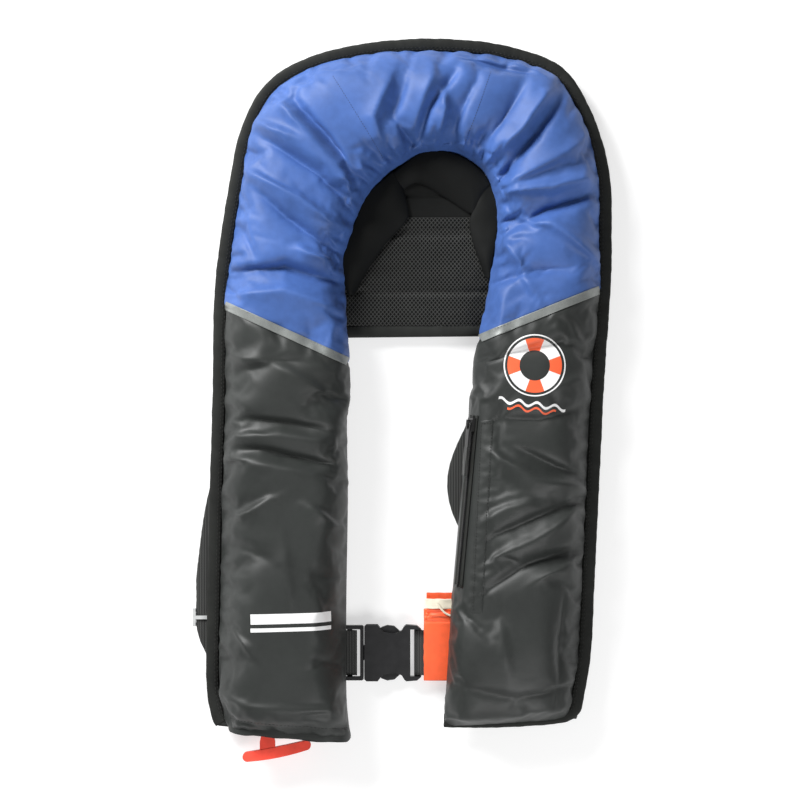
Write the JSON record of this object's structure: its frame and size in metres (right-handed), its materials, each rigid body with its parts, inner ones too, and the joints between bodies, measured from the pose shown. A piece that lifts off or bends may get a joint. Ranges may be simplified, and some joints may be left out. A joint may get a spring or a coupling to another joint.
{
  "type": "inflatable life jacket",
  "caption": "Packed inflatable life jacket with a blue collar, black lobes, waist belt with side-release buckle, zip pocket and a red pull handle",
  "frame": {"origin": "under the middle of the jacket, on the surface that it lies on", "axes": "+Y from the hems to the collar, +X to the lobe with the pocket, +Z out of the front cover"},
  "size_m": [0.351, 0.6044, 0.054],
  "materials": {
    "black_cloth": "coated nylon, satin",
    "blue_cloth": "coated nylon, satin",
    "binding_tape": "ribbed tape, matte",
    "spacer_mesh": "open spacer mesh",
    "pad_foam": "closed-cell foam",
    "reflective_tape": "satin retroreflective",
    "black_webbing": "woven, matte",
    "hook_and_loop": "pile, matte",
    "black_plastic": "moulded, satin",
    "grey_plastic": "moulded, satin",
    "orange_cloth": "coated cloth, satin",
    "white_tape": "woven tape, matte",
    "red_plastic": "moulded, glossy",
    "orange_plastic": "moulded, glossy",
    "bladder_cloth": "heat-sealed coated nylon",
    "sensor_plastic": "moulded",
    "zinc": "die cast, polished",
    "steel": "plated",
    "black_rubber": "moulded, matte"
  },
  "bodies": {
    "jacket": {"cover_front_left": "black_cloth", "cover_front_right": "black_cloth", "hem_left": "black_cloth", "cover_back": "black_cloth", "belt_sleeve_left": "black_cloth", "belt_sleeve_right": "black_cloth", "pocket_welt": "black_cloth", "cover_front_collar": "blue_cloth", "edge_binding": "binding_tape", "pad_backing": "binding_tape", "pad_binding": "binding_tape", "neck_lining_left": "binding_tape", "neck_lining_top": "binding_tape", "neck_lining_right": "binding_tape", "pad_mesh": "spacer_mesh", "pad_foam": "pad_foam", "reflective_strip_left": "reflective_tape", "reflective_strip_right": "reflective_tape", "waist_belt_right": "black_webbing", "back_strap_left": "black_webbing", "back_strap_right": "black_webbing", "zip_tape_inner": "black_webbing", "zip_tape_outer": "black_webbing", "zip_coil": "black_webbing", "pocket_bag": "black_webbing", "closure_hook_strip": "hook_and_loop", "closure_loop_strip": "hook_and_loop", "buckle_female": "black_plastic", "inflator_body": "black_plastic", "manifold_plate": "black_plastic", "manifold_nut": "black_plastic", "oral_tube_elbow": "black_plastic", "oral_valve_body": "black_plastic", "keeper": "orange_cloth", "keeper_band": "white_tape", "whistle_lanyard": "white_tape", "whistle": "orange_plastic", "bladder": "bladder_cloth", "sensor_bobbin": "sensor_plastic", "zip_stop": "zinc", "return_spring": "steel", "lever_pin": "steel", "cylinder_seal": "black_rubber", "oral_tube": "black_rubber"},
    "buckle_male_half": {"buckle_male": "black_plastic", "waist_belt_left": "black_webbing"},
    "upper_prong": {"prong_upper": "black_plastic"},
    "lower_prong": {"prong_lower": "black_plastic"},
    "manual_pull": {"pull_handle": "red_plastic", "pull_cord": "black_webbing"},
    "lever": {"inflation_lever": "red_plastic"},
    "piercer": {"piercing_pin": "steel"},
    "cylinder": {"gas_cylinder": "steel"},
    "automatic_head_cap": {"automatic_cap": "black_plastic"},
    "pocket_slider": {"zip_slider": "zinc"},
    "pocket_pull": {"zip_pull": "zinc", "zip_pull_tab": "black_webbing"},
    "oral_valve": {"oral_valve_poppet": "black_rubber"},
    "oral_dust_cap": {"oral_cap": "red_plastic"},
    "adjuster": {"strap_slider": "grey_plastic"}
  },
  "joints": [
    {"name": "buckle_release", "type": "slide", "parent": "jacket", "child": "buckle_male_half", "axis": [-1, 0, 0], "range_m": [0, 0.03]},
    {"name": "upper_prong_flex", "type": "hinge", "parent": "buckle_male_half", "child": "upper_prong", "pos_m": [-0.0333, -0.20055, 0.0066], "axis": [0, 0, -1], "range_deg": [0, 8], "stiffness_Nm_per_rad": 0.6},
    {"name": "lower_prong_flex", "type": "hinge", "parent": "buckle_male_half", "child": "lower_prong", "pos_m": [-0.0333, -0.22425, 0.0066], "axis": [0, 0, 1], "range_deg": [0, 8], "stiffness_Nm_per_rad": 0.6},
    {"name": "pull_inflate", "type": "slide", "parent": "jacket", "child": "manual_pull", "axis": [0, -1, 0], "range_m": [0, 0.028]},
    {"name": "lever_turn", "type": "hinge", "parent": "jacket", "child": "lever", "pos_m": [-0.127, -0.2512, 0.0333], "axis": [0, 0, -1], "range_deg": [0, 55]},
    {"name": "piercer_travel", "type": "slide", "parent": "jacket", "child": "piercer", "axis": [0, 1, 0], "range_m": [0, 0.006]},
    {"name": "cylinder_unscrew", "type": "hinge", "parent": "jacket", "child": "cylinder", "pos_m": [-0.114, -0.15, 0.0333], "axis": [0, 1, 0], "continuous": true},
    {"name": "automatic_cap_unscrew", "type": "hinge", "parent": "jacket", "child": "automatic_head_cap", "pos_m": [-0.088, -0.226, 0.0323], "axis": [1, 0, 0], "continuous": true},
    {"name": "zip_travel", "type": "slide", "parent": "jacket", "child": "pocket_slider", "axis": [-0.0912, -0.9958, 0], "range_m": [0, 0.126]},
    {"name": "zip_pull_swing", "type": "hinge", "parent": "pocket_slider", "child": "pocket_pull", "pos_m": [0.05373, -0.01872, 0.04099], "axis": [-0.4243, 0.0388, -0.9047], "range_deg": [0, 140]},
    {"name": "oral_valve_press", "type": "slide", "parent": "jacket", "child": "oral_valve", "axis": [0, 1, 0], "range_m": [0, 0.003], "stiffness_N_per_m": 200},
    {"name": "oral_cap_pull", "type": "slide", "parent": "jacket", "child": "oral_dust_cap", "axis": [0, -1, 0], "range_m": [0, 0.014]},
    {"name": "strap_adjust", "type": "slide", "parent": "jacket", "child": "adjuster", "axis": [0, 1, 0], "range_m": [0, 0.015]}
  ],
  "couplings": [
    {"joint": "lower_prong_flex", "follows": "upper_prong_flex", "ratio": 1},
    {"joint": "lever_turn", "follows": "pull_inflate", "rad_per_m": 34.283},
    {"joint": "piercer_travel", "follows": "pull_inflate", "ratio": 0.2143}
  ]
}
